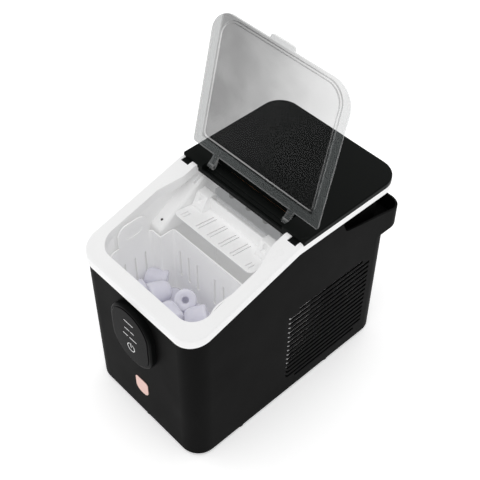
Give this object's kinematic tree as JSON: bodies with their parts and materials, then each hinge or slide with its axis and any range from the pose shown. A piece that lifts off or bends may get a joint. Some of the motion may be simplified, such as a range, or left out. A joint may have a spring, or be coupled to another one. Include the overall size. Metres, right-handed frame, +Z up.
{
  "type": "countertop ice maker",
  "caption": "Countertop bullet-ice maker with an open smoked lid, lift-out ice basket, tilting water tray, ice shovel and a carry grip round the back.",
  "frame": {"origin": "on the table under the middle of the whole machine, between the control pod at the front and the carry grip at the back", "axes": "+Z up, front faces -Y, +X to the right of a person facing the front"},
  "size_m": [0.23, 0.4002, 0.5186],
  "materials": {
    "black_plastic": "fine matte moulded black",
    "gloss_black": "satin black",
    "panel_glass": "gloss black",
    "smoked_lid": "smoked translucent",
    "white_plastic": "satin white",
    "grey_plastic": "translucent grey",
    "icon_white": "printed white",
    "rose_metal": "satin rose gold",
    "nickel": "bright nickel",
    "copper": "drawn copper",
    "steel": "plain steel",
    "compressor_paint": "black enamel",
    "fin_aluminium": "mill finish",
    "motor_white": "moulded casing",
    "rubber": "dull rubber",
    "board_green": "green circuit board",
    "sensor_dark": "dark lens"
  },
  "bodies": {
    "housing": {"front_panel": "black_plastic", "left_side_panel": "black_plastic", "right_side_panel": "black_plastic", "rear_panel": "black_plastic", "left_grip_wall": "black_plastic", "right_grip_wall": "black_plastic", "carry_grip": "black_plastic", "left_vent_grille": "black_plastic", "right_vent_grille": "black_plastic", "base_plate": "black_plastic", "base_screws": "steel", "rubber_feet": "rubber", "top_frame": "white_plastic", "top_cover": "gloss_black", "hinge_rail": "gloss_black", "inner_liner": "white_plastic", "sensor_housing": "white_plastic", "ice_sensor_emitter": "sensor_dark", "ice_sensor_receiver": "sensor_dark", "left_cheek": "white_plastic", "right_cheek": "white_plastic", "evaporator_plate": "nickel", "evaporator_fingers": "nickel", "evaporator_tube": "copper", "tray_gear_motor": "motor_white", "compressor": "compressor_paint", "compressor_bracket": "steel", "compressor_grommets": "rubber", "suction_line": "copper", "liquid_line": "copper", "condenser": "fin_aluminium", "fan_shroud": "white_plastic", "fan_motor": "steel", "water_pump": "motor_white", "water_hose": "rubber", "float_stem": "white_plastic", "drain_spout": "white_plastic", "display_board": "board_green", "main_board": "board_green", "cord_gland": "black_plastic", "control_pod": "gloss_black", "touch_panel": "panel_glass", "panel_icons": "icon_white", "badge_plate": "rose_metal"},
    "lid": {"lid": "smoked_lid", "hinge_pins": "steel"},
    "ice_basket": {"ice_basket": "white_plastic"},
    "water_tray": {"water_tray": "grey_plastic", "tray_drive_shaft": "grey_plastic", "tray_pivot": "grey_plastic"},
    "ice_shovel": {"ice_shovel": "white_plastic", "shovel_shaft": "steel", "shovel_clips": "white_plastic"},
    "fan_rotor": {"fan_rotor": "white_plastic"},
    "level_float": {"level_float": "white_plastic"},
    "drain_plug": {"drain_plug": "rubber"}
  },
  "joints": [
    {"name": "lid_hinge", "type": "hinge", "parent": "housing", "child": "lid", "pos_m": [0, 0.0054, 0.309], "axis": [1, 0, 0], "range_deg": [0, 118.2]},
    {"name": "basket_lift", "type": "slide", "parent": "housing", "child": "ice_basket", "axis": [0, 0, 1], "range_m": [0, 0.2]},
    {"name": "tray_tilt", "type": "hinge", "parent": "housing", "child": "water_tray", "pos_m": [0, 0.03475, 0.262], "axis": [-1, 0, 0], "range_deg": [0, 60]},
    {"name": "shovel_sweep", "type": "hinge", "parent": "housing", "child": "ice_shovel", "pos_m": [0, -0.00825, 0.262], "axis": [-1, 0, 0], "range_deg": [0, 35]},
    {"name": "fan_spin", "type": "hinge", "parent": "housing", "child": "fan_rotor", "pos_m": [0.0756, 0.0935, 0.104], "axis": [1, 0, 0], "continuous": true},
    {"name": "float_rise", "type": "slide", "parent": "housing", "child": "level_float", "axis": [0, 0, 1], "range_m": [0, 0.045]},
    {"name": "drain_pull", "type": "slide", "parent": "housing", "child": "drain_plug", "axis": [-1, 0, 0], "range_m": [0, 0.03]}
  ],
  "couplings": [
    {"joint": "shovel_sweep", "follows": "tray_tilt", "ratio": 0.58333}
  ]
}
